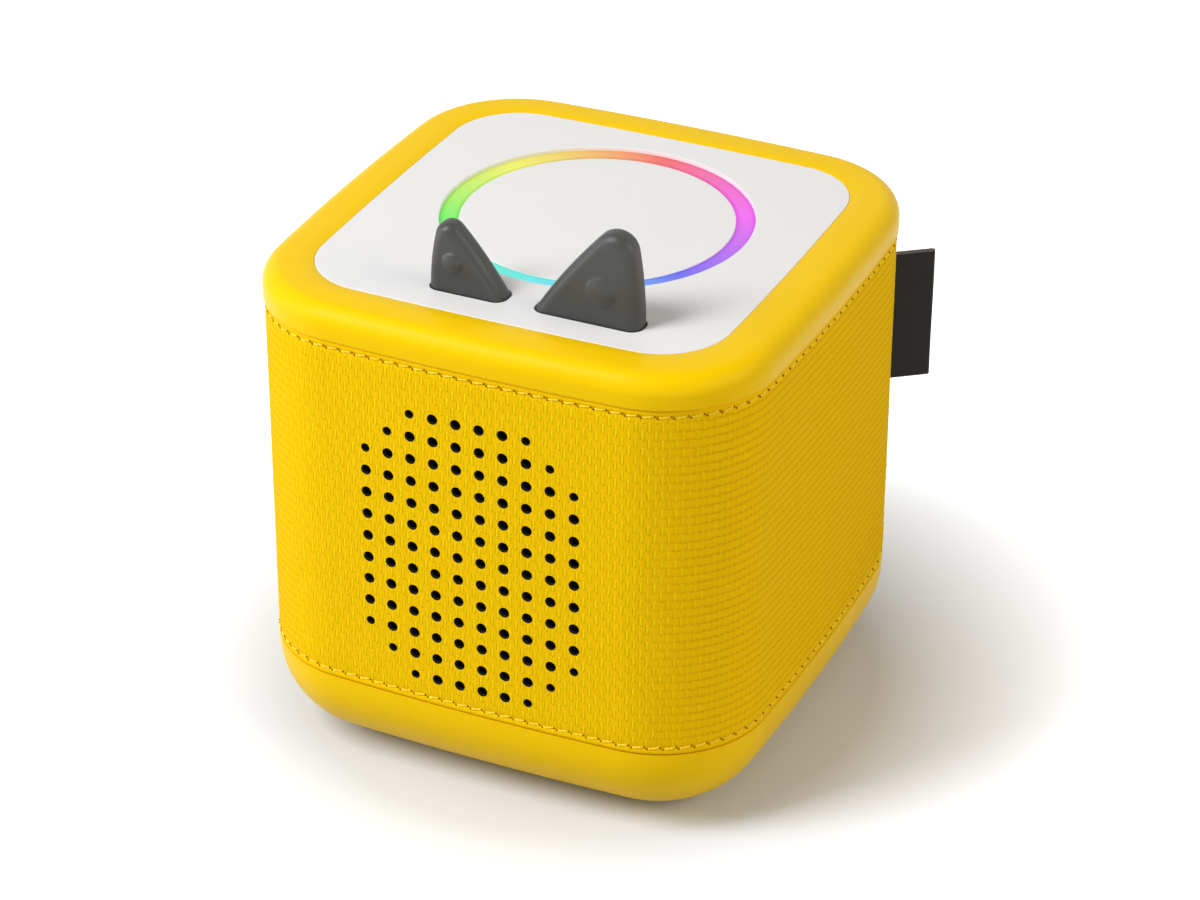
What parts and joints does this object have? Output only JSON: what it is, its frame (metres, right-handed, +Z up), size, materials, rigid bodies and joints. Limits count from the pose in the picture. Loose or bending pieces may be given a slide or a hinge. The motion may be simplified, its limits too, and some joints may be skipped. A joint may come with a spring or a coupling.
{
  "type": "audio story player",
  "caption": "Soft cube-shaped audio player for children with a perforated fabric speaker front, a lit seat for figures on top and two ear-shaped volume buttons.",
  "frame": {"origin": "centre of the footprint, on the surface that the feet stand on", "axes": "+Z up, the perforated speaker front faces -Y, +X to the right when seen from the front"},
  "size_m": [0.1229, 0.1208, 0.1372],
  "materials": {
    "yellow_shell": "smooth, slightly soft satin",
    "yellow_fabric": "coarse woven, padded",
    "foam": "open cell",
    "white_plastic": "fine satin",
    "light_guide": "milky, lit from below in rainbow colours",
    "grey_rubber": "matte",
    "ear_rubber": "soft matte",
    "tag_fabric": "woven label",
    "black_plastic": "moulded",
    "black_mesh": "fine mesh",
    "steel": "zinc plated",
    "ferrite": "ground",
    "chrome_magnet": "nickel plated",
    "cone_paper": "pressed pulp",
    "copper": "enamelled",
    "circuit_board": "solder mask",
    "led_white": "clear lens",
    "cell_wrap": "shrink wrap",
    "lead_sheath": "flexible"
  },
  "bodies": {
    "root": {"base_tub": "yellow_shell", "rubber_feet": "grey_rubber", "base_screws": "steel", "inner_housing": "black_plastic", "foam_liner": "foam", "fabric_wrap": "yellow_fabric", "side_tag": "tag_fabric", "top_rim": "yellow_shell", "top_plate": "white_plastic", "top_chassis": "black_plastic", "chassis_screws": "steel", "light_guide_ring": "light_guide", "light_baffle": "white_plastic", "led_ring_board": "circuit_board", "ring_leds": "led_white", "seat_disc": "white_plastic", "seat_magnet": "chrome_magnet", "magnet_holder": "black_plastic", "reader_board": "circuit_board", "antenna_coil": "copper", "ear_skin_large": "ear_rubber", "ear_skin_small": "ear_rubber", "ear_core_large": "black_plastic", "ear_core_small": "black_plastic", "ear_board_large": "circuit_board", "ear_board_small": "circuit_board", "volume_up_switch": "black_plastic", "volume_down_switch": "black_plastic", "ear_screws": "steel", "speaker_mesh": "black_mesh", "speaker_gasket": "foam", "speaker_basket": "steel", "speaker_surround": "grey_rubber", "speaker_spider": "cone_paper", "pole_plate": "steel", "speaker_magnet": "ferrite", "pole_yoke": "steel", "speaker_screws": "steel", "main_board": "circuit_board", "board_screws": "steel", "processor_shield": "steel", "headphone_jack": "black_plastic", "charging_socket": "steel", "board_parts": "black_plastic", "battery_connector": "white_plastic", "ribbon_connector": "white_plastic", "battery_cells": "cell_wrap", "battery_cradle": "black_plastic", "battery_pad": "foam", "battery_leads": "lead_sheath", "speaker_leads": "lead_sheath", "flat_cable": "white_plastic"},
    "volume_up": {"volume_up_button": "ear_rubber", "volume_up_plunger": "black_plastic"},
    "volume_down": {"volume_down_button": "ear_rubber", "volume_down_plunger": "black_plastic"},
    "speaker_diaphragm": {"speaker_cone": "cone_paper", "speaker_dust_cap": "cone_paper", "voice_coil": "copper"}
  },
  "joints": [
    {"name": "volume_up_press", "type": "slide", "parent": "root", "child": "volume_up", "axis": [0, 1, 0], "range_m": [0, 0.00045], "stiffness_N_per_m": 3000, "springref_m": -0.0003},
    {"name": "volume_down_press", "type": "slide", "parent": "root", "child": "volume_down", "axis": [0, 1, 0], "range_m": [0, 0.00045], "stiffness_N_per_m": 3000, "springref_m": -0.0003},
    {"name": "cone_travel", "type": "slide", "parent": "root", "child": "speaker_diaphragm", "axis": [0, -1, 0], "range_m": [-0.0008, 0.0008], "stiffness_N_per_m": 1500}
  ]
}
